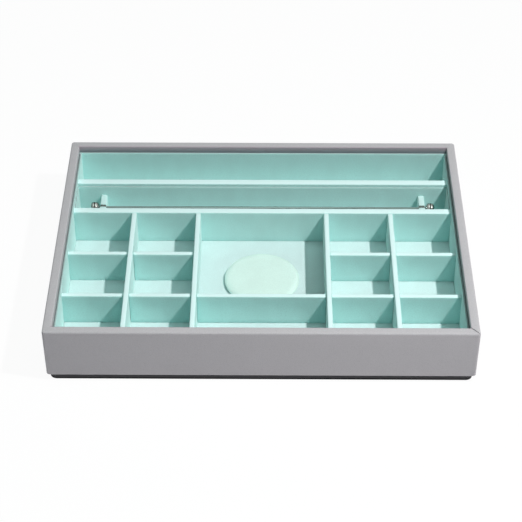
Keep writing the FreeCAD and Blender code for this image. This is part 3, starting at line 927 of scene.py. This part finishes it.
WHITE = (1, 1, 1)
FLOOR_SIZE = 8
FLOOR_BOUNCE = 0.85
SHADOW_SHARE = 0.05
FILL = 0.02
KEY_PLACE = Vector((0.42, -0.20, 0.775))
KEY_AIM = Vector((-0.85, 0.0, -0.53))
KEY_SIZE = 0.035
KEY_POWER = 7.6
KEY_COLOUR = (1.0, 0.98, 0.985)
OVER_PLACE = Vector((0.0, 0.0, 1.6))
OVER_SIZE = 1.2
OVER_POWER = 7.5
OVER_COLOUR = (0.79, 1.0, 0.97)
LOW_SIDES = {
    "front": Vector((0, -1, 0)),
    "right": Vector((1, 0, 0)),
    "back": Vector((0, 1, 0)),
    "left": Vector((-1, 0, 0)),
}
LOW_DISTANCE = 1.4
LOW_HEIGHT = Vector((0, 0, 0.02))
LOW_SIZE = (1.6, 0.03)
LOW_POWER = 1.5
LOW_COLOUR = (0.88, 0.84, 1.0)

CAMERA_PLACE = (0.00476, -0.72975, 0.65619)
CAMERA_AZIMUTH = 0.423
CAMERA_ELEVATION = 41.34
CAMERA_ROLL = -0.06
CAMERA_LENS = 107.9
CAMERA_SENSOR = 36


def seen_directly(finish):
    """1 for what the camera sees, straight or in metal and glass."""
    paths = [
        finish.node("ShaderNodeLightPath", output=ray)
        for ray in ("Is Camera Ray", "Is Glossy Ray", "Is Transmission Ray")
    ]
    total = paths[0] + paths[1] + paths[2]
    return finish.node("ShaderNodeMath", {"operation": "MINIMUM"}, {0: total, 1: 1.0})


def make_floor():
    """A plain floor that looks white and still shows the tray's shadow."""
    bpy.ops.object.select_all(action="DESELECT")
    bpy.ops.mesh.primitive_plane_add(size=FLOOR_SIZE)
    floor = bpy.context.object
    floor.name = "studio_floor"
    material, finish = new_finish("studio_floor")
    seen = seen_directly(finish)
    tone = finish.blend(seen, scaled(WHITE, FLOOR_BOUNCE), WHITE)
    matt = finish.node("ShaderNodeBsdfDiffuse", {}, {"Color": tone})
    white = finish.node("ShaderNodeEmission", {}, {"Color": as_colour(WHITE), "Strength": 1.0})
    share = seen * (1 - SHADOW_SHARE)
    mixed = finish.node("ShaderNodeMixShader", {}, {0: share, 1: matt, 2: white})
    finish.node("ShaderNodeOutputMaterial", {}, {"Surface": mixed})
    floor.data.materials.append(material)


def make_lamp(name, shape, place, aim, power, colour):
    """An area lamp that shines along aim; its size is set on what comes back."""
    data = bpy.data.lights.new(name, "AREA")
    data.shape = shape
    data.energy = power
    data.color = colour
    lamp = bpy.data.objects.new(name, data)
    lamp.location = place
    lamp.rotation_euler = aim.to_track_quat("-Z", "Y").to_euler()
    bpy.context.scene.collection.objects.link(lamp)
    return data


def make_light():
    """A small key lamp, a softbox overhead, and low lamps that reach only the outer walls."""
    world = bpy.data.worlds.new("studio")
    bpy.context.scene.world = world
    world.use_nodes = True
    finish = Finish(world.node_tree)
    fill = finish.node("ShaderNodeBackground", {}, {"Color": as_colour(WHITE), "Strength": FILL})
    white = finish.node("ShaderNodeBackground", {}, {"Color": as_colour(WHITE), "Strength": 1.0})
    mixed = finish.node("ShaderNodeMixShader", {}, {0: seen_directly(finish), 1: fill, 2: white})
    finish.node("ShaderNodeOutputWorld", {}, {"Surface": mixed})
    key = make_lamp("key_lamp", "DISK", KEY_PLACE, KEY_AIM, KEY_POWER, KEY_COLOUR)
    key.size = KEY_SIZE
    over = make_lamp("overhead_lamp", "SQUARE", OVER_PLACE, -OVER_PLACE, OVER_POWER, OVER_COLOUR)
    over.size = OVER_SIZE
    for name, side in LOW_SIDES.items():
        place = LOW_DISTANCE * side + LOW_HEIGHT
        low = make_lamp(f"low_{name}_lamp", "RECTANGLE", place, -side, LOW_POWER, LOW_COLOUR)
        low.size, low.size_y = LOW_SIZE


def make_camera():
    """The photograph's camera, as fitted to the tray's corners."""
    data = bpy.data.cameras.new("photo_camera")
    data.sensor_width = CAMERA_SENSOR
    data.lens = CAMERA_LENS
    camera = bpy.data.objects.new("photo_camera", data)
    turn = (
        Matrix.Rotation(math.radians(CAMERA_AZIMUTH), 4, "Z")
        @ Matrix.Rotation(math.radians(90 - CAMERA_ELEVATION), 4, "X")
        @ Matrix.Rotation(math.radians(CAMERA_ROLL), 4, "Z")
    )
    camera.matrix_world = Matrix.Translation(CAMERA_PLACE) @ turn
    bpy.context.scene.collection.objects.link(camera)
    bpy.context.scene.camera = camera


make_floor()
make_light()
make_camera()
bpy.context.scene.view_settings.view_transform = "Standard"
